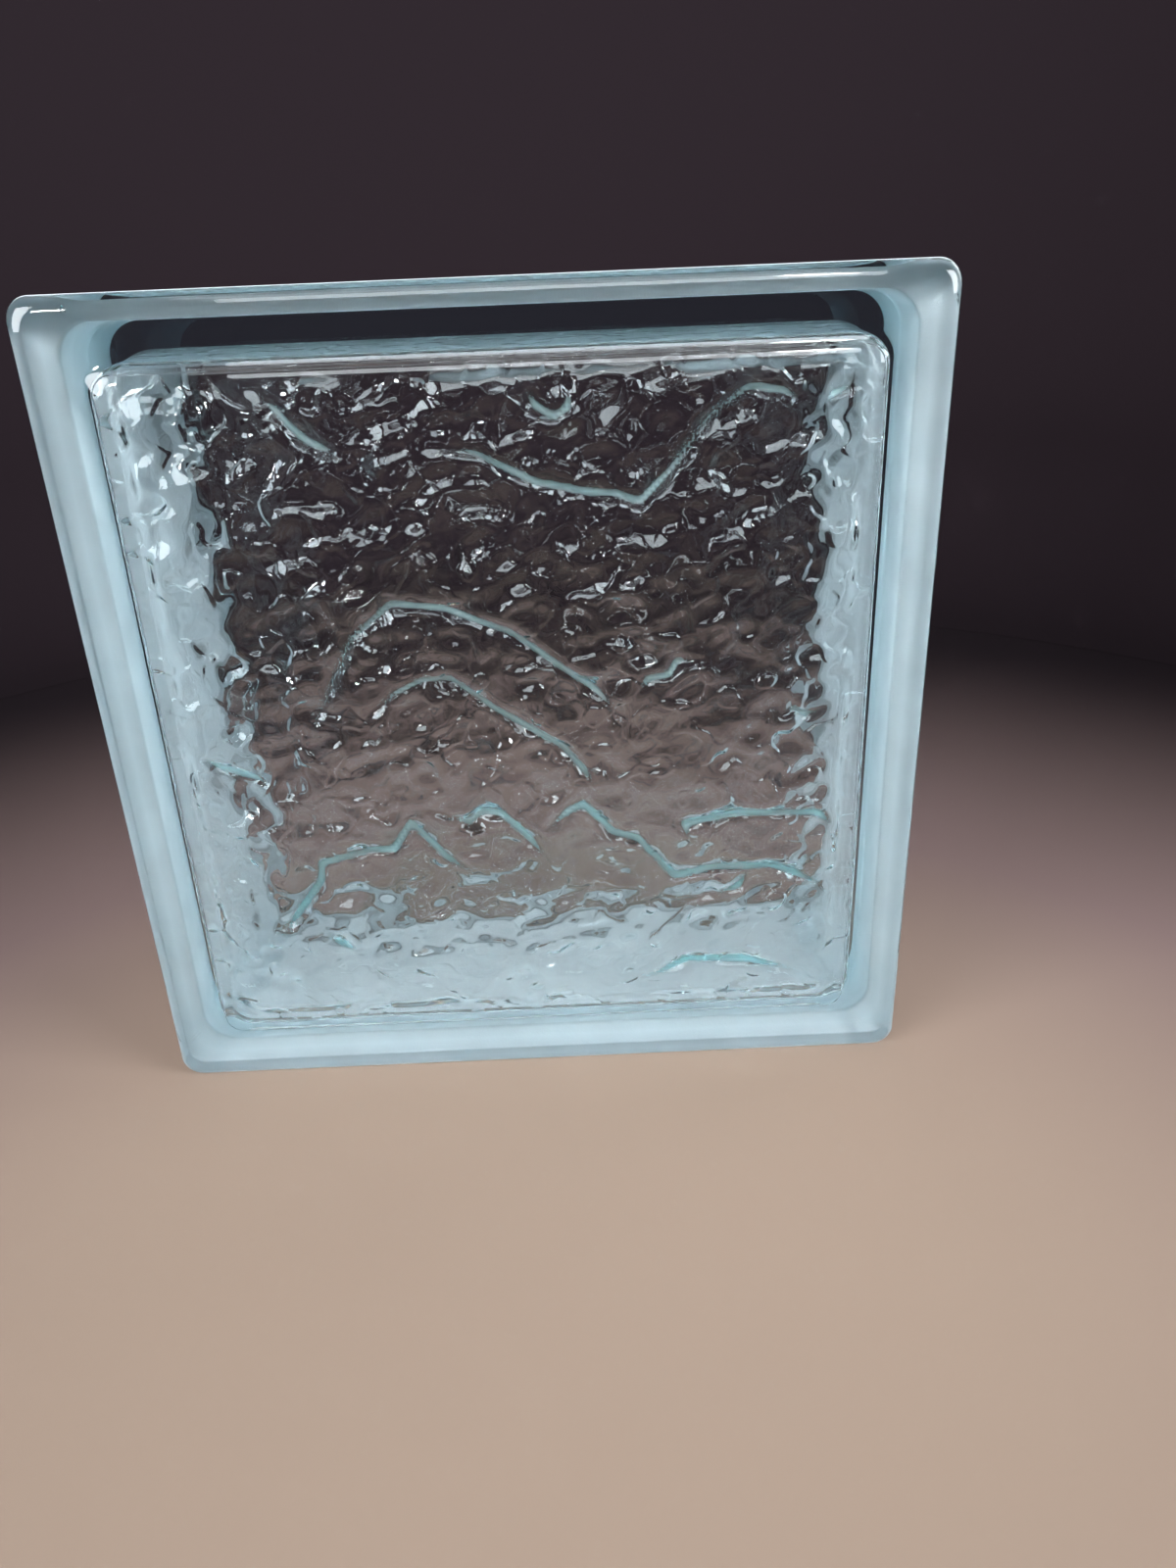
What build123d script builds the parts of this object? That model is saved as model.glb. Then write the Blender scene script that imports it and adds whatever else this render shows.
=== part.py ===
from build123d import *
from math import atan2, degrees
import os

# Hollow glass block, standing on its edge.
# Millimetres, X across the face, Y through the thickness, +Z up.
# The front face looks along -Y and the origin is the middle of the underside.

# Driving dimensions of the block
side = 190.0
thickness = 80.0

# Pressed face: a raised panel inside a plain border ring
border_width = 14.0
panel_rise = 1.2
panel_bevel = 2.4
panel_corner = 4.0
panel_edge_round = 0.5
face_thickness = 8.5

# Edge: a rounded flange, and a channel that keys the mortar
flange_width = 12.0
flange_corner = 5.0
flange_round = 3.0
key_depth = 5.0
key_slope = 5.0
web_corner = 8.0

# Inside of one half shell
web_wall = 6.0
cavity_draft = 2.5
cavity_corner = 9.0
cavity_round = 3.0

# Seam where the two halves are fused
bead_outside = 0.6
bead_inside = 0.8
bead_width = 4.0

# Vein ridges pressed into the inner face, seen from the front with the block's middle at 0, 0
vein_radius = 1.3
vein_height = 0.9
veins = [
    [(-52, 79), (-45, 71.5), (-40.5, 66), (-37, 64), (-30, 61)],
    [
        (-15, 63), (-4.5, 61.5), (8, 55), (19, 52.5), (25, 52), (30, 50),
        (36.5, 56), (45, 67), (53, 72.5), (60, 71.5), (69, 67),
    ],
    [(67, 65), (71, 70.5), (79, 73)],
    [(5.5, 77), (8.5, 70.5), (12.5, 68), (15.5, 70), (16, 78)],
    [(-50, -3), (-45.5, 5), (-36, 22), (-26, 30), (-14.5, 28.5), (0, 22.5), (19, 8), (30, -5)],
    [
        (-39.5, -1), (-27.5, 9), (-21, 12), (-14, 12),
        (-4, 4), (10.5, -5.5), (15.5, -12), (18.5, -19),
    ],
    [(27, 3), (31, 10), (36, 10.5), (38, 14), (47, 13)],
    [(59.5, -4), (65, 1.5), (68, -0.5), (75, 2.5)],
    [(-78, -3), (-70, -7.5), (-63.5, -10), (-55.5, -15)],
    [
        (-66, -58), (-58, -48), (-51, -39), (-50, -34), (-38, -31),
        (-32, -31), (-27, -24), (-19, -34), (-8, -42),
    ],
    [(-25, -19.5), (-13, -25), (-10, -22), (-5, -22.5), (1, -29), (9, -41)],
    [
        (2.5, -31), (11, -23), (15, -21), (22, -29), (28, -31),
        (37, -42), (47, -40), (61, -40), (66, -42), (79, -49),
    ],
    [(57, -38.5), (53, -45.5), (43, -49)],
    [(41.5, -35), (39.5, -27.5), (52, -25.5), (72, -26), (78.5, -32)],
    [(19, -77), (40, -66.5), (55, -67), (79, -74.5)],
    [(-54, -52.5), (-48, -57), (-42, -61.5)],
]

# Sizes that follow from the driving dimensions
half_thickness = thickness / 2
border_height = half_thickness - panel_rise
flange_base = border_height - flange_width
key_base = flange_base - key_slope
web_side = side - 2 * key_depth
panel_side = side - 2 * border_width
cavity_depth = half_thickness - face_thickness
cavity_mouth = web_side - 2 * web_wall
bead_half_width = bead_width / 2
vein_centre = cavity_depth + vein_radius - vein_height


def rounded_block(width_low, corner_low, height_low, width_high, corner_high, height_high):
    """Square block with rounded corners, from one width and corner radius to another."""
    low = Plane.XY.offset(height_low) * RectangleRounded(width_low, width_low, corner_low)
    high = Plane.XY.offset(height_high) * RectangleRounded(width_high, width_high, corner_high)
    return loft([low, high], ruled=True)


def drafted_block(width, corner, height_low, height_high, inset):
    """Square block with rounded corners, whose sides lean in by inset from low to high."""
    rise = height_high - height_low
    outline = Plane.XY.offset(height_low) * RectangleRounded(width, width, corner)
    return extrude(outline, rise, taper=degrees(atan2(inset, rise)))


def top_edges(block):
    return block.faces().sort_by(Axis.Z)[-1].edges()


def vein_rod(points):
    """Round rod along a crooked vein, drawn clear of the plunger at both ends."""
    clear = vein_centre + vein_height
    heights = [clear, *[vein_centre] * (len(points) - 2), clear]
    path = Polyline(*[(x, y, height) for (x, y), height in zip(points, heights)])
    start = Plane(origin=path @ 0, z_dir=path % 0)
    return sweep(start * Circle(vein_radius), path=path, transition=Transition.RIGHT)


def outer_form():
    """Outside of a half shell, from the seam at 0 up to the raised panel."""
    bead_side = web_side + 2 * bead_outside
    bead = rounded_block(bead_side, web_corner, 0, web_side, web_corner, bead_half_width)
    web = rounded_block(web_side, web_corner, 0, web_side, web_corner, key_base)
    slope = rounded_block(web_side, web_corner, key_base, side, flange_corner, flange_base)
    flange = rounded_block(side, flange_corner, flange_base, side, flange_corner, border_height)
    flange = fillet(top_edges(flange), flange_round)
    panel = drafted_block(panel_side, panel_corner, border_height, half_thickness, panel_bevel)
    panel = fillet(top_edges(panel), panel_edge_round)
    return web + bead + slope + flange + panel


def plunger():
    """Press plunger that forms the inside, with a groove for each vein ridge."""
    seam_side = cavity_mouth - 2 * bead_inside
    seam = rounded_block(seam_side, cavity_corner, 0, cavity_mouth, cavity_corner, bead_half_width)
    core = drafted_block(cavity_mouth, cavity_corner, bead_half_width, cavity_depth, cavity_draft)
    core = seam + fillet(top_edges(core), cavity_round)
    for points in veins:
        core -= vein_rod(points)
    return core


def half_shell():
    """One pressed half, seam at 0 and panel upwards."""
    return outer_form() - plunger()


shell = half_shell()
stand_up = Pos(0, 0, side / 2) * Rot(90, 0, 0)
turn_round = Rot(180, 0, 0) * Rot(0, 0, 90)

halves = {
    "front_half": stand_up * shell,
    "back_half": stand_up * turn_round * shell,
}

os.makedirs("parts", exist_ok=True)
for name, half in halves.items():
    export_step(half.solids()[0], f"parts/{name}.step")
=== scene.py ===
import bpy
import math
import numpy as np
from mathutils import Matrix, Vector


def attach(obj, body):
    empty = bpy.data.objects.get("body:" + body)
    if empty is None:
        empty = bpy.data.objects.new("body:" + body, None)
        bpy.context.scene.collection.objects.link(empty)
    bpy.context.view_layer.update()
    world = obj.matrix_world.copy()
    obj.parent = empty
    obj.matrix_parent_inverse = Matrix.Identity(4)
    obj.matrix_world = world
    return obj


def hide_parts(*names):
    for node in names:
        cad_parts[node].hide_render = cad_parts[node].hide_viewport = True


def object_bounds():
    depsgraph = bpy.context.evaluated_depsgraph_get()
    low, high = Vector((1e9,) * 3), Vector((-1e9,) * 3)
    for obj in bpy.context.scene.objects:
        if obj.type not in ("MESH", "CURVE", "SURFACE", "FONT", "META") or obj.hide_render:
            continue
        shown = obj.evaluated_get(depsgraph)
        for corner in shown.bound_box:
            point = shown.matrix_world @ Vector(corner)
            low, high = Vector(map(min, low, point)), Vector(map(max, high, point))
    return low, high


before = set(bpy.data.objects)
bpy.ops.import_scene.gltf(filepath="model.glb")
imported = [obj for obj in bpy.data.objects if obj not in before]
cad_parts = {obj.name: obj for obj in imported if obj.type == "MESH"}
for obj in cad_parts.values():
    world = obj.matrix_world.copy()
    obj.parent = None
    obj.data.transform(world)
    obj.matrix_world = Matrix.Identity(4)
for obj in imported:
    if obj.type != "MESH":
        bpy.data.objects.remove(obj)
cad_low, cad_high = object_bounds()
MM = 0.001


# The glass.
# Two square shells of clear, faintly blue glass, pressed in a mould and fused rim to rim, so the
# block is one body of glass round a sealed hollow. The outside is smooth from the mould, and its
# edge is keyed for mortar.

HALF_SIDE = (cad_high.x - cad_low.x) / 2
HALF_THICK = (cad_high.y - cad_low.y) / 2
MIDDLE_Z = (cad_low.z + cad_high.z) / 2

# Sizes of the pressed form
BORDER_WIDTH = 14 * MM
PANEL_RISE = 1.2 * MM
PANEL_BEVEL = 2.4 * MM
PANEL_CORNER = 4 * MM
PANEL_ROUND = 5 * MM
FLANGE_DEPTH = 12 * MM
FLANGE_CORNER = 5 * MM
FLANGE_ROUND = 3 * MM
KEY_SLOPE = 5 * MM
KEY_DEPTH = 5 * MM
KEY_ROUND = 1.5 * MM
WEB_CORNER = 8 * MM
BEAD_OUTSIDE = 0.6 * MM
BEAD_INSIDE = 0.8 * MM
SMALL_ROUND = 0.8 * MM
FACE_THICK = 8.5 * MM
WALL_THICK = 6 * MM
WALL_DRAFT = 2.5 * MM
WALL_CORNER = 9 * MM
FLOOR_CORNER = 7 * MM
FLOOR_ROUND = 3 * MM
PAINT_FILM = 0.06 * MM

# Half widths, and depths from the seam, that follow from them
PANEL_HALF = HALF_SIDE - BORDER_WIDTH
FLANGE_HALF = HALF_SIDE - PAINT_FILM
WEB_HALF = FLANGE_HALF - KEY_DEPTH
BEAD_HALF = WEB_HALF + BEAD_OUTSIDE
WALL_HALF = WEB_HALF - WALL_THICK
SEAM_HALF = WALL_HALF - BEAD_INSIDE
FLOOR_HALF = WALL_HALF - WALL_DRAFT
BORDER_Y = HALF_THICK - PANEL_RISE
FLANGE_Y = BORDER_Y - FLANGE_DEPTH
KEY_Y = FLANGE_Y - KEY_SLOPE
FLOOR_Y = HALF_THICK - FACE_THICK
BEAD_Y = 2 * MM

# Rings of the mesh on the flats: close beside each rounding, and inside the roundings of the faces
FLAT_MARGIN = 0.2 * MM
FLAT_HALF = FLOOR_HALF - FLOOR_ROUND - 0.5 * MM
PANEL_FLAT_HALF = PANEL_HALF - 6 * MM


def rounded_profile(corners):
    """Half width, depth and plan corner along a profile, with each corner of it rounded off.

    A ring close to each end of a rounding keeps the flats beside it shaded as flats.
    """
    path = [corners[0][:3]]
    for before, here, after in zip(corners, corners[1:], corners[2:]):
        a, b, c = (np.array(point[:3]) for point in (before, here, after))
        back = (a - b) / np.linalg.norm((a - b)[:2])
        ahead = (c - b) / np.linalg.norm((c - b)[:2])
        half_turn = (math.pi - math.acos(back[:2] @ ahead[:2])) / 2
        start, end = (b + leg * here[3] * math.tan(half_turn) for leg in (back, ahead))
        bulge = b - (start + end) / 2
        bulge[2] = 0
        bulge /= np.linalg.norm(bulge)
        path.append(tuple(start + back * FLAT_MARGIN))
        steps = 2 + round(here[3] / MM)
        for swing in np.linspace(-half_turn, half_turn, steps + 1):
            along = (1 + math.sin(swing) / math.sin(half_turn)) / 2
            rise = here[3] * (math.cos(swing) - math.cos(half_turn))
            path.append(tuple(start + (end - start) * along + bulge * rise))
        path.append(tuple(end + ahead * FLAT_MARGIN))
    return path + [corners[-1][:3]]


def plan_places(u, v, half, corner):
    """Places over a square face from shares of its half width, with its corners rounded."""
    reach = np.maximum(np.abs(u), np.abs(v))
    radius = corner * reach**3
    straight = half * reach - radius
    over_x = np.abs(half * u) - straight
    over_z = np.abs(half * v) - straight
    bent = (over_x > 0) & (over_z > 0) & (radius > 0)
    angle = np.arctan2(over_z, over_x)
    x = np.where(bent, np.sign(u) * (straight + radius * np.cos(angle)), half * u)
    z = np.where(bent, np.sign(v) * (straight + radius * np.sin(angle)), half * v)
    return x, z


def square_loop(shares):
    """Points round the unit square, anticlockwise from the front, from shares along one side."""
    side = np.array(shares)
    one = np.ones(len(side))
    u = np.concatenate([side, one, -side, -one])
    v = np.concatenate([-one, side, one, -side])
    return u, v


def band_places(profile, loop):
    """Vertices of a band of rings, one for each point of the profile."""
    rings = []
    for half, depth, corner in profile:
        x, z = plan_places(*loop, half, corner)
        rings.append(np.stack([x, np.full(len(x), depth), z + MIDDLE_Z], 1))
    return np.concatenate(rings)


def band_faces(ring_starts, count):
    """Quads between rings that follow each other, facing away from the block's middle line."""
    faces = []
    for near, far in zip(ring_starts, ring_starts[1:]):
        for k in range(count):
            n = (k + 1) % count
            faces.append((near[k], far[k], far[n], near[n]))
    return faces


def ring_starts(first, rings, count):
    """Vertices of each ring of a band that begins at the first vertex."""
    return [list(range(first + k * count, first + (k + 1) * count)) for k in range(rings)]


def new_object(name, mesh):
    """Object of a mesh, at the origin of the scene."""
    thing = bpy.data.objects.new(name, mesh)
    bpy.context.scene.collection.objects.link(thing)
    return thing


# Profile of the outside, from the front panel round the edge to the seam
FRONT_OUTSIDE = [
    (PANEL_FLAT_HALF, -HALF_THICK, PANEL_CORNER, 0),
    (PANEL_HALF - PANEL_BEVEL, -HALF_THICK, PANEL_CORNER, PANEL_ROUND),
    (PANEL_HALF, -BORDER_Y, PANEL_CORNER, PANEL_ROUND),
    (FLANGE_HALF, -BORDER_Y, FLANGE_CORNER, FLANGE_ROUND),
    (FLANGE_HALF, -FLANGE_Y, FLANGE_CORNER, SMALL_ROUND),
    (WEB_HALF, -KEY_Y, WEB_CORNER, KEY_ROUND),
    (WEB_HALF, -BEAD_Y, WEB_CORNER, SMALL_ROUND),
    (BEAD_HALF, 0, WEB_CORNER, 0),
]
front_outside = rounded_profile(FRONT_OUTSIDE)
outside = front_outside + [(h, -y, c) for h, y, c in reversed(front_outside[:-1])]

# The rings are dense near the corners, where the outline bends
CORNER_SHARE = 0.1
CORNER_STEPS = 10
MIDDLE_SHARES = (-0.45, 0.0, 0.45)
near_corner = 1 - CORNER_SHARE * np.linspace(0, 1, CORNER_STEPS + 1)
side_shares = sorted({-1.0, *(-near_corner), *MIDDLE_SHARES, *near_corner[1:]})
outer_loop = square_loop(side_shares)
outer_count = len(outer_loop[0])
vertices = [band_places(outside, outer_loop)]
starts = ring_starts(0, len(outside), outer_count)
faces = band_faces(starts, outer_count)
faces += [tuple(starts[0]), tuple(reversed(starts[-1]))]

# Profile of the hollow, from the front face's inside to the seam
FRONT_INSIDE = [
    (FLAT_HALF, -FLOOR_Y, FLOOR_CORNER, 0),
    (FLOOR_HALF, -FLOOR_Y, FLOOR_CORNER, FLOOR_ROUND),
    (WALL_HALF, -BEAD_Y, WALL_CORNER, SMALL_ROUND),
    (SEAM_HALF, 0, WALL_CORNER, 0),
]
front_inside = rounded_profile(FRONT_INSIDE)
walls = front_inside[1:] + [(h, -y, c) for h, y, c in reversed(front_inside[1:-1])]

# A grid over the flat of each inner face, fine enough for the relief, that the walls start from
GRID = 184
grid_shares = np.linspace(-1, 1, GRID + 1)
inner_loop = square_loop(grid_shares[:-1])
inner_count = len(inner_loop[0])
grid_u, grid_v = np.meshgrid(grid_shares, grid_shares)
grid_x, grid_z = plan_places(grid_u.ravel(), grid_v.ravel(), FLAT_HALF, FLOOR_CORNER)
grid_index = np.arange((GRID + 1) ** 2).reshape(GRID + 1, GRID + 1)
grid_edge = np.concatenate(
    [grid_index[0, :-1], grid_index[:-1, -1], grid_index[-1, :0:-1], grid_index[:0:-1, 0]]
)
grid_quads = np.stack(
    [grid_index[:-1, :-1], grid_index[:-1, 1:], grid_index[1:, 1:], grid_index[1:, :-1]], -1
).reshape(-1, 4)

first_wall = len(vertices[0])
vertices.append(band_places(walls, inner_loop))
wall_starts = ring_starts(first_wall, len(walls), inner_count)
first_front = first_wall + len(vertices[1])
vertices.append(np.stack([grid_x, np.full(len(grid_x), -FLOOR_Y), grid_z + MIDDLE_Z], 1))
first_back = first_front + len(grid_x)
vertices.append(np.stack([grid_x, np.full(len(grid_x), FLOOR_Y), grid_z + MIDDLE_Z], 1))
hollow_starts = [list(first_front + grid_edge)] + wall_starts + [list(first_back + grid_edge)]
faces += [tuple(reversed(face)) for face in band_faces(hollow_starts, inner_count)]
faces += [tuple(reversed(quad)) for quad in (grid_quads + first_front).tolist()]
faces += [tuple(quad) for quad in (grid_quads + first_back).tolist()]

places = np.concatenate(vertices)
glass_mesh = bpy.data.meshes.new("pressed_glass")
glass_mesh.from_pydata(places.tolist(), [], faces)
glass_mesh.shade_smooth()
glass = new_object("glass_block", glass_mesh)

# Shares that the relief and the glass read: where the plunger's relief is, which is all of the inner
# faces and none of the walls or the outside, and what belongs to the hollow
RELIEF_FADE = 2 * MM
inside = np.zeros(len(places))
from_edge = FLAT_HALF * (1 - np.maximum(np.abs(grid_u), np.abs(grid_v)).ravel())
inside[first_front:] = np.tile(np.clip(from_edge / RELIEF_FADE, 0, 1), 2)
glass_mesh.attributes.new("relief_share", "FLOAT", "POINT").data.foreach_set("value", inside)
in_hollow = np.arange(len(places)) >= first_wall
glass_mesh.attributes.new("hollow_share", "FLOAT", "POINT").data.foreach_set("value", in_hollow)


class Wire:
    """A socket of a node tree that ordinary sums can be written with."""

    def __init__(self, tree, socket=None):
        self.tree = tree
        self.socket = socket

    def add(self, kind, settings=(), sockets=(), give=0):
        """New node: its settings first, then its sockets, and the output asked for as a Wire."""
        node = self.tree.nodes.new(kind)
        for name, value in dict(settings).items():
            if name == "stops":
                while len(node.color_ramp.elements) < len(value):
                    node.color_ramp.elements.new(1.0)
                for element, (place, colour) in zip(node.color_ramp.elements, value):
                    element.position = place
                    element.color = (*colour, 1)
            else:
                setattr(node, name, value)
        for name, value in dict(sockets).items():
            if isinstance(value, Wire):
                self.tree.links.new(value.socket, node.inputs[name])
            else:
                node.inputs[name].default_value = value
        return Wire(self.tree, node.outputs[give]) if node.outputs else node

    def math(self, operation, *values):
        return self.add("ShaderNodeMath", {"operation": operation}, dict(enumerate(values)))

    def attribute(self, name):
        return self.add("ShaderNodeAttribute", {"attribute_name": name}, give="Fac")

    def mix(self, factor, first, second, how="MIX"):
        """Colour between two colours."""
        settings = {"data_type": "RGBA", "blend_type": how}
        return self.add("ShaderNodeMix", settings, {0: factor, 6: first, 7: second}, 2)

    def smooth_step(self, low, high):
        """0 up to low, 1 from high, and a smooth rise between them."""
        settings = {"interpolation_type": "SMOOTHSTEP"}
        return self.add("ShaderNodeMapRange", settings, {"Value": self, "From Min": low, "From Max": high})

    def __add__(self, other):
        return self.math("ADD", self, other)

    __radd__ = __add__

    def __mul__(self, other):
        return self.math("MULTIPLY", self, other)

    __rmul__ = __mul__

    def __sub__(self, other):
        return self.math("SUBTRACT", self, other)

    def __rsub__(self, other):
        return self.math("SUBTRACT", other, self)


# The relief of the plunger.
# The plunger's hammered face leaves shallow dimples and slanting wrinkles in the glass, and its
# engraved lines leave raised veins, which are read from the shells themselves.

tree = bpy.data.node_groups.new("pressed_relief", "GeometryNodeTree")
RELIEF_INPUTS = {
    "Front Shell": ("NodeSocketObject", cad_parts["front_half"]),
    "Back Shell": ("NodeSocketObject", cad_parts["back_half"]),
    "Dimple Depth": ("NodeSocketFloat", 1.5 * MM),
    "Dimples per Metre": ("NodeSocketFloat", 190.0),
    "Hammer Height": ("NodeSocketFloat", 2.0 * MM),
    "Hammers per Metre": ("NodeSocketFloat", 85.0),
    "Wrinkle Height": ("NodeSocketFloat", 0.6 * MM),
    "Wrinkles per Metre": ("NodeSocketFloat", 100.0),
    "Swell Height": ("NodeSocketFloat", 2.0 * MM),
    "Swells per Metre": ("NodeSocketFloat", 50.0),
    "Island Height": ("NodeSocketFloat", 0.35 * MM),
    "Islands per Metre": ("NodeSocketFloat", 110.0),
    "Vein Softening": ("NodeSocketInt", 1),
    "Seed": ("NodeSocketFloat", 7.0),
}
tree.interface.new_socket("Geometry", in_out="INPUT", socket_type="NodeSocketGeometry")
tree.interface.new_socket("Geometry", in_out="OUTPUT", socket_type="NodeSocketGeometry")
identifiers = {}
for name, (kind, _) in RELIEF_INPUTS.items():
    socket = tree.interface.new_socket(name, in_out="INPUT", socket_type=kind)
    identifiers[name] = socket.identifier

maker = Wire(tree)
group_in = tree.nodes.new("NodeGroupInput")
given = {socket.name: Wire(tree, socket) for socket in group_in.outputs if socket.name}

shells = tree.nodes.new("GeometryNodeJoinGeometry")
for name in ("Front Shell", "Back Shell"):
    own_place = {"transform_space": "ORIGINAL"}
    shell = maker.add("GeometryNodeObjectInfo", own_place, {"Object": given[name]}, "Geometry")
    tree.links.new(shell.socket, shells.inputs["Geometry"])

place = maker.add("GeometryNodeInputPosition")
split = tree.nodes.new("ShaderNodeSeparateXYZ")
tree.links.new(place.socket, split.inputs[0])
x, y, z = (Wire(tree, split.outputs[k]) for k in range(3))
side_of_seam = maker.math("SIGN", y)
depth = maker.math("ABSOLUTE", y)

# A ray from the seam meets the shell early where a vein stands up from its inner face
from_seam = maker.add("ShaderNodeCombineXYZ", (), {"X": x, "Z": z})
to_face = maker.add("ShaderNodeCombineXYZ", (), {"Y": side_of_seam})
hit = maker.add(
    "GeometryNodeRaycast",
    {"data_type": "FLOAT"},
    {
        "Target Geometry": Wire(tree, shells.outputs[0]),
        "Source Position": from_seam,
        "Ray Direction": to_face,
        "Ray Length": 2 * HALF_THICK,
    },
    "Hit Distance",
)
vein = maker.math("MAXIMUM", depth - hit, 0.0)
vein = maker.add(
    "GeometryNodeBlurAttribute",
    {"data_type": "FLOAT"},
    {"Value": vein, "Iterations": given["Vein Softening"]},
)

# The hammer marks lean, so their pattern is turned and squeezed
WRINKLE_TURN = math.radians(24)
WRINKLE_SQUEEZE = (0.7, 1.0, 1.15)
turned = maker.add(
    "ShaderNodeVectorRotate",
    {"rotation_type": "Y_AXIS"},
    {"Vector": place, "Angle": WRINKLE_TURN},
)
stretched = maker.add("ShaderNodeVectorMath", {"operation": "MULTIPLY"}, {0: turned, 1: WRINKLE_SQUEEZE})


def noise(where, scale, seed, detail=1.0, roughness=0.5, distortion=0.0):
    return maker.add(
        "ShaderNodeTexNoise",
        {"noise_dimensions": "4D"},
        {
            "Vector": where,
            "W": seed,
            "Scale": scale,
            "Detail": detail,
            "Roughness": roughness,
            "Distortion": distortion,
        },
    )


seed = given["Seed"]
swell = noise(place, given["Swells per Metre"], seed) - 0.5
hammer = noise(place, given["Hammers per Metre"], seed + 9.0, detail=1.2, distortion=0.6) - 0.5
wrinkle = noise(stretched, given["Wrinkles per Metre"], seed + 3.0, detail=1.5, distortion=0.4)
wrinkle = maker.math("ABSOLUTE", wrinkle - 0.5) * 2.0
dimple = maker.add(
    "ShaderNodeTexVoronoi",
    {"voronoi_dimensions": "4D", "feature": "SMOOTH_F1"},
    {"Vector": stretched, "W": seed + 5.0, "Scale": given["Dimples per Metre"], "Smoothness": 0.6},
    "Distance",
)
island = noise(place, given["Islands per Metre"], seed + 7.0).smooth_step(0.54, 0.68)

RELIEF_LIFT = 0.3 * MM
relief = (
    vein
    + island * given["Island Height"]
    + swell * given["Swell Height"]
    + hammer * given["Hammer Height"]
    - wrinkle * given["Wrinkle Height"]
    - dimple * given["Dimple Depth"]
    + RELIEF_LIFT
)
share = maker.add(
    "GeometryNodeInputNamedAttribute",
    {"data_type": "FLOAT"},
    {"Name": "relief_share"},
    "Attribute",
)
shift = maker.add("ShaderNodeCombineXYZ", (), {"Y": side_of_seam * relief * share * -1.0})

# The veins' share of painted glow, which stands in for the light that the ridges gather from the lit
# walls, is kept for the glass to read. It is fainter in the back half.
VEIN_HEIGHT = 0.9 * MM
FRONT_GLOW = 1.0
BACK_GLOW = 0.3
faint = maker.math(
    "MULTIPLY_ADD",
    side_of_seam,
    (BACK_GLOW - FRONT_GLOW) / 2,
    (BACK_GLOW + FRONT_GLOW) / 2,
)
painted_vein_glow = vein * share * faint * (1 / VEIN_HEIGHT)
marked = maker.add(
    "GeometryNodeStoreNamedAttribute",
    {"data_type": "FLOAT", "domain": "POINT"},
    {"Geometry": given["Geometry"], "Name": "vein_share", "Value": painted_vein_glow},
)
moved = maker.add("GeometryNodeSetPosition", (), {"Geometry": marked, "Offset": shift})
real = maker.add("GeometryNodeRealizeInstances", (), {"Geometry": moved})

glass_material = bpy.data.materials.new("clear_pressed_glass")
glass_material.use_nodes = True
finished = maker.add("GeometryNodeSetMaterial", (), {"Geometry": real, "Material": glass_material})
group_out = tree.nodes.new("NodeGroupOutput")
tree.links.new(finished.socket, group_out.inputs[0])

relief_modifier = glass.modifiers.new("pressed_relief", "NODES")
relief_modifier.node_group = tree
for name, (_, value) in RELIEF_INPUTS.items():
    relief_modifier[identifiers[name]] = value
evaluated = glass.evaluated_get(bpy.context.evaluated_depsgraph_get())
glass.data = bpy.data.meshes.new_from_object(evaluated)
glass.modifiers.remove(relief_modifier)

# Clear glass with a smooth outside. The plunger chilled the hollow's walls, which are a little dull, and
# left fine ripples in its faces. The veins are a little dull. Their pale cyan, bluer near the floor, is
# painted light: a glow that stands in for the light the ridges gather from the lit painted walls.
WALL_ROUGHNESS = 0.2
# Painted light: the pale and the deeper blue colours of the veins' glow
VEIN_GLOW_PALE = (0.62, 0.92, 0.92, 1)
VEIN_GLOW_BLUE = (0.2, 0.66, 0.7, 1)
BLUE_BELOW_Z = 0.11
BLUEST_Z = 0.05
CLEAR_GLASS = {
    "Base Color": (1, 1, 1, 1),
    "Roughness": 0.0,
    "IOR": 1.52,
    "Transmission Weight": 1.0,
}
GLASS_TINT = (0, 0.74, 0.9, 1)
TINT_DENSITY = 6.0
shader = glass_material.node_tree
shader.nodes.clear()
maker = Wire(shader)
output = shader.nodes.new("ShaderNodeOutputMaterial")
vein_share = maker.attribute("vein_share")
hollow_share = maker.attribute("hollow_share")
chill = maker.math("MULTIPLY_ADD", maker.attribute("relief_share"), -WALL_ROUGHNESS, WALL_ROUGHNESS)
where = maker.add("ShaderNodeTexCoord", give="Object")
glow_patches = maker.add("ShaderNodeTexNoise", (), {"Vector": where, "Scale": 45.0, "Detail": 1.0})
low = maker.add("ShaderNodeSeparateXYZ", (), {0: where}, "Z")
low = maker.add("ShaderNodeMapRange", (), {"Value": low, "From Min": BLUE_BELOW_Z, "From Max": BLUEST_Z})
vein_share = maker.add("ShaderNodeClamp", (), {"Value": vein_share * 2.0 - 0.8 + low * 0.35})
vein_glow_share = vein_share * (glow_patches * 1.6 - 0.2 + low * 0.15)
vein_glow_colour = maker.mix(low, VEIN_GLOW_PALE, VEIN_GLOW_BLUE)
ripple = maker.add("ShaderNodeTexNoise", (), {"Vector": where, "Scale": 190.0, "Detail": 0.5})
ripple = ripple.smooth_step(0.52, 0.64)
ripple = maker.add("ShaderNodeBump", (), {"Height": ripple, "Strength": 1.0, "Distance": 0.2 * MM})
smooth_surface = maker.add("ShaderNodeBsdfPrincipled", (), CLEAR_GLASS)
hollow_surface = maker.add(
    "ShaderNodeBsdfPrincipled",
    (),
    {**CLEAR_GLASS, "Roughness": chill, "Normal": ripple},
)
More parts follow.
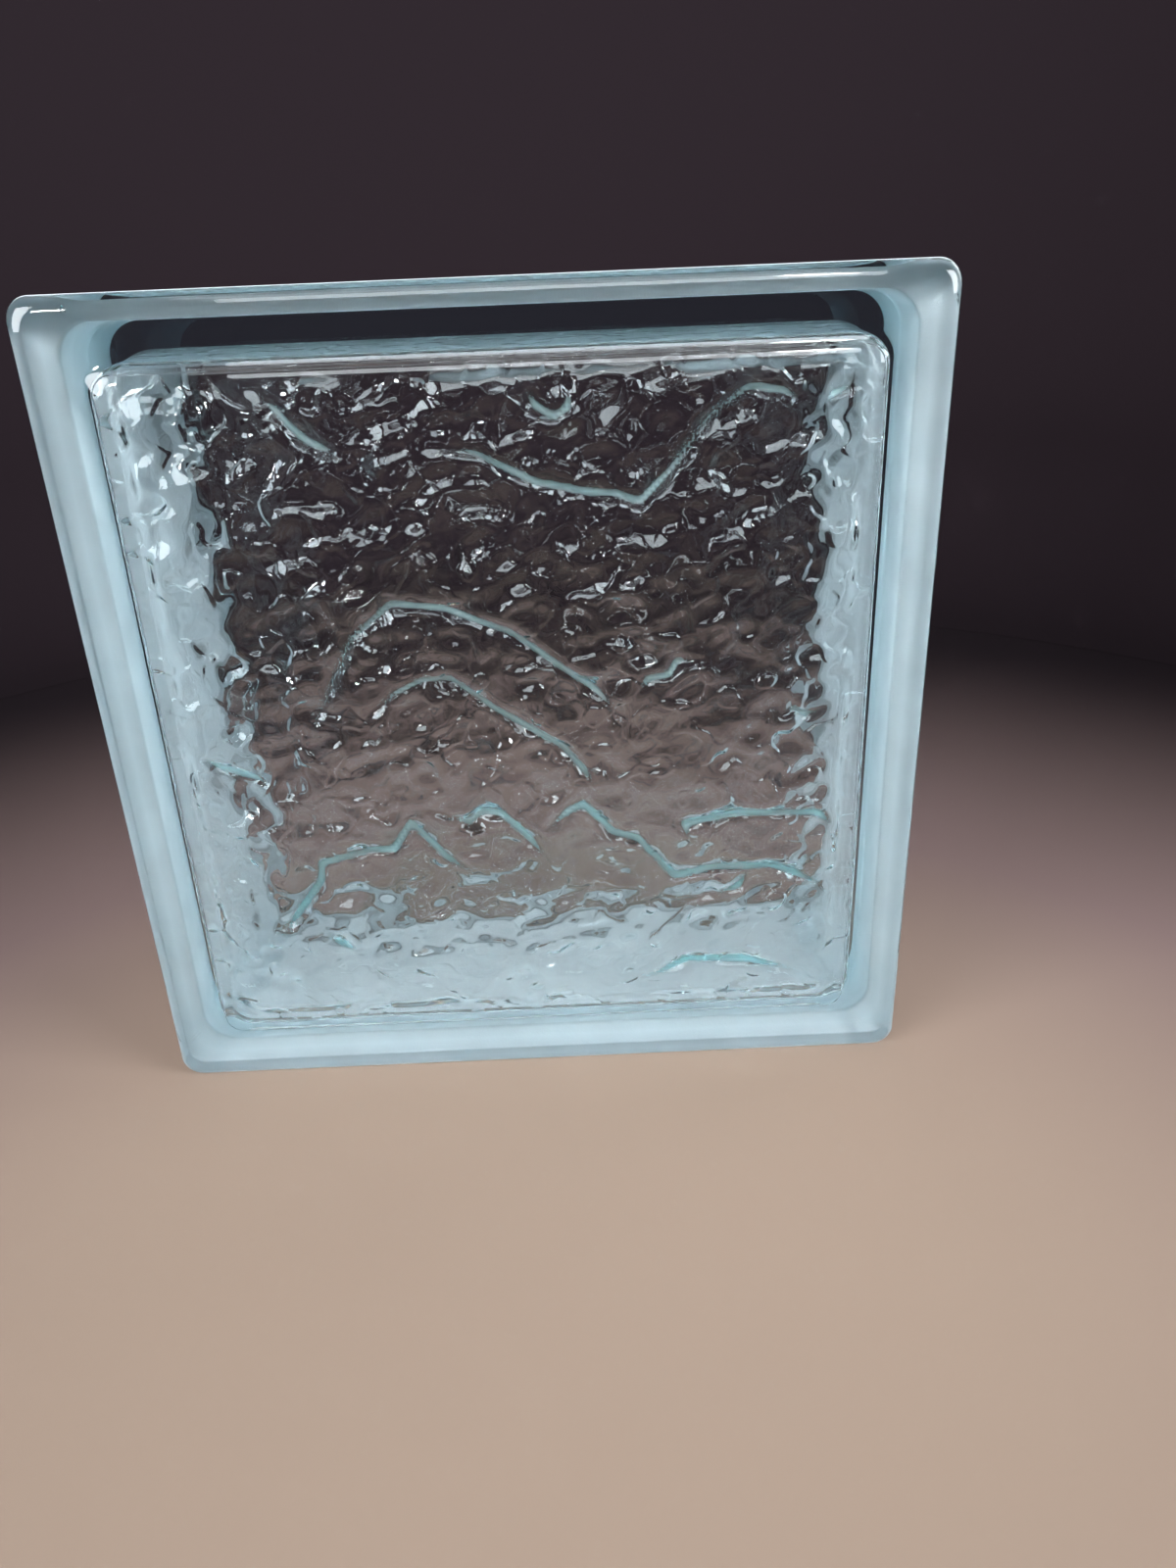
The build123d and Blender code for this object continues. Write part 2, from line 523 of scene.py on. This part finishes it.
# The veins' surface is part clear glass and part a painted glow of pale cyan
vein_glow_surface = maker.add(
    "ShaderNodeBsdfPrincipled",
    (),
    {
        **CLEAR_GLASS,
        "Base Color": vein_glow_colour,
        "Roughness": 0.35,
        "Transmission Weight": 0.6,
        "Normal": ripple,
    },
)
inner = maker.add("ShaderNodeMixShader", (), {"Fac": vein_glow_share, 1: hollow_surface, 2: vein_glow_surface})
mixed = maker.add("ShaderNodeMixShader", (), {"Fac": hollow_share, 1: smooth_surface, 2: inner})
tint = maker.add("ShaderNodeVolumeAbsorption", (), {"Color": GLASS_TINT, "Density": TINT_DENSITY})
shader.links.new(mixed.socket, output.inputs["Surface"])
shader.links.new(tint.socket, output.inputs["Volume"])

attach(glass, "root")
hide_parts("front_half", "back_half")


# The keying paint.
# A thin matte pale grey paint, sprayed on the edges of the fused block so that mortar grips them.
# It stops where the rounded rim of each face begins, and is sunk by half of its thickness.

PAINT_END_Y = BORDER_Y - FLANGE_ROUND
MESH_SLACK = 0.01 * MM


def painted(profile, outward):
    """Profile moved outward, or inward where that is less than nothing."""
    return [(half + outward, depth, corner) for half, depth, corner in profile]


edge = [point for point in outside if abs(point[1]) <= PAINT_END_Y + MESH_SLACK]
skin = painted(edge, PAINT_FILM)
bond = painted(edge, -PAINT_FILM)
paint_profile = skin + bond[::-1]
paint_places = band_places(paint_profile, outer_loop)
paint_starts = ring_starts(0, len(paint_profile), outer_count)
paint_faces = band_faces(paint_starts + paint_starts[:1], outer_count)
paint_mesh = bpy.data.meshes.new("keying_paint")
paint_mesh.from_pydata(paint_places.tolist(), [], paint_faces)
paint_mesh.shade_smooth()
on_bond = np.repeat([0.0, 1.0], [len(skin) * outer_count, len(bond) * outer_count])
paint_mesh.attributes.new("bond_share", "FLOAT", "POINT").data.foreach_set("value", on_bond)
paint = new_object("keying_paint", paint_mesh)

# The outer side is pale grey. The side against the glass is painted lighter, as painted light for the
# walls seen through the glass. It has darker bands of painted shade along the edges of the key channel's
# slopes.
OUTER_TONE = (0.62, 0.63, 0.64, 1)
CLOUD_TONES = [(0.35, (0.9, 0.9, 0.92)), (0.65, (0.96, 0.96, 0.98))]
# Painted light and shade on the side against the glass, by depth from the seam
BOND_LIGHT_AND_SHADE_TONES = [
    (KEY_Y / HALF_THICK - 0.06, (1.0, 1.0, 1.0)),
    (KEY_Y / HALF_THICK, (0.7, 0.7, 0.7)),
    ((KEY_Y + FLANGE_Y) / 2 / HALF_THICK, (0.84, 0.84, 0.84)),
    (FLANGE_Y / HALF_THICK + 0.02, (0.68, 0.68, 0.68)),
    (FLANGE_Y / HALF_THICK + 0.14, (0.82, 0.82, 0.82)),
]
paint_material = bpy.data.materials.new("pale_keying_paint")
paint_material.use_nodes = True
shader = paint_material.node_tree
shader.nodes.clear()
maker = Wire(shader)
output = shader.nodes.new("ShaderNodeOutputMaterial")
where = maker.add("ShaderNodeTexCoord", give="Object")
cloud = maker.add("ShaderNodeTexNoise", (), {"Vector": where, "Scale": 90.0, "Detail": 2.0})
cloudy = maker.add("ShaderNodeValToRGB", {"stops": CLOUD_TONES}, {"Fac": cloud})
across = maker.add("ShaderNodeSeparateXYZ", (), {0: where}, "Y")
across = maker.math("ABSOLUTE", across) * (1 / HALF_THICK)
bond_light_and_shade = maker.add("ShaderNodeValToRGB", {"stops": BOND_LIGHT_AND_SHADE_TONES}, {"Fac": across})
tone = maker.mix(maker.attribute("bond_share"), OUTER_TONE, bond_light_and_shade)
colour = maker.mix(1.0, cloudy, tone, "MULTIPLY")
grain = maker.add("ShaderNodeTexNoise", (), {"Vector": where, "Scale": 1800.0, "Detail": 1.0})
bump = maker.add("ShaderNodeBump", (), {"Height": grain, "Strength": 0.4, "Distance": 0.1 * MM})
surface = maker.add(
    "ShaderNodeBsdfPrincipled",
    (),
    {"Base Color": colour, "Roughness": 0.85, "Normal": bump},
)
shader.links.new(surface.socket, output.inputs["Surface"])
paint_mesh.materials.append(paint_material)
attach(paint, "root")


# The studio.
# A matte sheet of paper, pale before the block and darkening behind it into a dark wall. The darkening and
# the dark wall are painted shade, because what is seen through clear glass makes up much of its look. They
# stand in for the light falling off behind the block, for the block's shadow there and for a room in
# shade. The wall is high behind the block and low all round the rest, where soft lamps light the block's
# walls from both sides.

# Pale floor colour, then painted shade: a darker middle and a near-black wall behind the block
FLOOR_COLOUR = (0.36, 0.26, 0.2)
MIDDLE_SHADE_COLOUR = (0.23, 0.155, 0.145)
WALL_SHADE_COLOUR = (0.013, 0.007, 0.01)
PALEST_PLACE = (0, -0.12, 0)
PALE_REACH = 0.08
DARK_REACH = 0.5
MIDDLE_STOP = 0.3
WALL_RADIUS = 0.52
COVE_RADIUS = 0.1
COVE_LIFT = 0.2 * MM
WALL_HEIGHT = 0.9
WALL_FRONT_HEIGHT = 0.2
WALL_FALL = 6
TURN_STEPS = 96


def turned_sheet(name, profile, material, front_height=None):
    """Sheet of a profile turned about the upright axis, with its last point lower in front."""
    points = []
    quads = []
    n = len(profile)
    for k in range(TURN_STEPS):
        angle = 2 * math.pi * k / TURN_STEPS
        turned = [(r * math.sin(angle), r * math.cos(angle), h) for r, h in profile]
        if front_height is not None:
            x, y, high = turned[-1]
            behind = ((1 + math.cos(angle)) / 2) ** WALL_FALL
            turned[-1] = (x, y, front_height + (high - front_height) * behind)
        points += turned
        here, there = k * n, (k + 1) % TURN_STEPS * n
        quads += [(here + i, here + i + 1, there + i + 1, there + i) for i in range(n - 1)]
    mesh = bpy.data.meshes.new(name)
    mesh.from_pydata(points, [], quads)
    mesh.shade_smooth()
    mesh.materials.append(material)
    sheet = new_object(name, mesh)


cove = [
    (WALL_RADIUS - COVE_RADIUS * (1 - math.sin(a)), COVE_LIFT + COVE_RADIUS * (1 - math.cos(a)))
    for a in np.linspace(0, math.pi / 2, 9)
]
paper = bpy.data.materials.new("studio_paper")
paper.use_nodes = True
matte = paper.node_tree.nodes["Principled BSDF"]
matte.inputs["Roughness"].default_value = 0.9
matte.inputs["Specular IOR Level"].default_value = 0.2
maker = Wire(paper.node_tree)
from_front = maker.add(
    "ShaderNodeVectorMath",
    {"operation": "DISTANCE"},
    {0: maker.add("ShaderNodeTexCoord", give="Object"), 1: PALEST_PLACE},
    "Value",
)
# Painted shade: the paper darkens with distance from a place before the block
blend = maker.add(
    "ShaderNodeValToRGB",
    {"stops": [(0.0, FLOOR_COLOUR), (MIDDLE_STOP, MIDDLE_SHADE_COLOUR), (1.0, WALL_SHADE_COLOUR)]},
    {"Fac": from_front.smooth_step(PALE_REACH, DARK_REACH)},
)
paper.node_tree.links.new(blend.socket, matte.inputs["Base Color"])
turned_sheet("studio_floor", [(0.0, 0.0), (WALL_RADIUS, 0.0)], paper)
turned_sheet("studio_wall", [*cove, (WALL_RADIUS, WALL_HEIGHT)], paper, WALL_FRONT_HEIGHT)

# A faint even light on the matte surfaces. Past the wall's edge, the eye and the glass see the wall's dark
# tone, which is painted shade as on the wall.
SKY_LIGHT = (0.34, 0.36, 0.38, 1)
SKY_SEEN = (0.026, 0.0195, 0.0245, 1)
world = bpy.data.worlds.new("studio_sky")
world.use_nodes = True
bpy.context.scene.world = world
maker = Wire(world.node_tree)
rays = ("Camera", "Glossy", "Transmission")
seen = sum(maker.add("ShaderNodeLightPath", give=f"Is {ray} Ray") for ray in rays)
sky = maker.mix(seen, SKY_LIGHT, SKY_SEEN)
world.node_tree.links.new(sky.socket, world.node_tree.nodes["Background"].inputs["Color"])


BLOCK_MIDDLE = (0, 0, MIDDLE_Z)
WINDOW_COLOUR = (0.9, 0.96, 1.0)
DAY_COLOUR = (0.92, 0.97, 1.0)
WHITE = (1, 1, 1)


def soft_lamp(name, place, width, height, power, colour):
    """Lamp with a lit rectangle, turned to the middle of the block."""
    light = bpy.data.lights.new(name, "AREA")
    light.shape = "RECTANGLE"
    light.size = width
    light.size_y = height
    light.energy = power
    light.color = colour
    lamp = bpy.data.objects.new(name, light)
    lamp.location = place
    aim = Vector(BLOCK_MIDDLE) - Vector(place)
    lamp.rotation_euler = aim.to_track_quat("-Z", "Y").to_euler()
    bpy.context.scene.collection.objects.link(lamp)


# A window on the right, a door on the left, a lamp behind, broad light from the front and above,
# and two small lamps whose glints sparkle in the relief
soft_lamp("window_light", (0.98, -0.55, 0.5), 0.6, 0.6, 18, WINDOW_COLOUR)
soft_lamp("door_light", (-0.85, -0.7, 0.5), 0.6, 0.6, 16, DAY_COLOUR)
soft_lamp("rear_light", (0.95, 0.55, 0.6), 0.5, 0.5, 5, DAY_COLOUR)
soft_lamp("front_light", (0, -1.4, 0.85), 1.0, 0.5, 13, DAY_COLOUR)
soft_lamp("sky_light", (-0.05, -0.85, 1.05), 0.8, 0.3, 2, DAY_COLOUR)
soft_lamp("left_glint", (-0.45, -0.8, 0.35), 0.07, 0.07, 1.5, WHITE)
soft_lamp("right_glint", (0.25, -0.75, 0.65), 0.07, 0.07, 1, WHITE)

# The camera looks down on the face from a hand's height, a little to the right of its middle
camera_data = bpy.data.cameras.new("camera")
camera_data.lens = 24.46
camera_data.sensor_width = 36
camera = bpy.data.objects.new("camera", camera_data)
camera.location = (0.0153, -0.2688, 0.1833)
camera.rotation_euler = tuple(math.radians(angle) for angle in (65.96, 2.21, -1.24))
bpy.context.scene.collection.objects.link(camera)
bpy.context.scene.camera = camera

bpy.context.scene.view_settings.view_transform = "Standard"

# Light reaches the paint only through several sheets of glass, so the paths are long and none of
# their light is clamped or blurred away
cycles = bpy.context.scene.cycles
cycles.max_bounces = 14
cycles.diffuse_bounces = 4
cycles.transmission_bounces = 12
cycles.glossy_bounces = 6
cycles.blur_glossy = 0
cycles.sample_clamp_indirect = 0
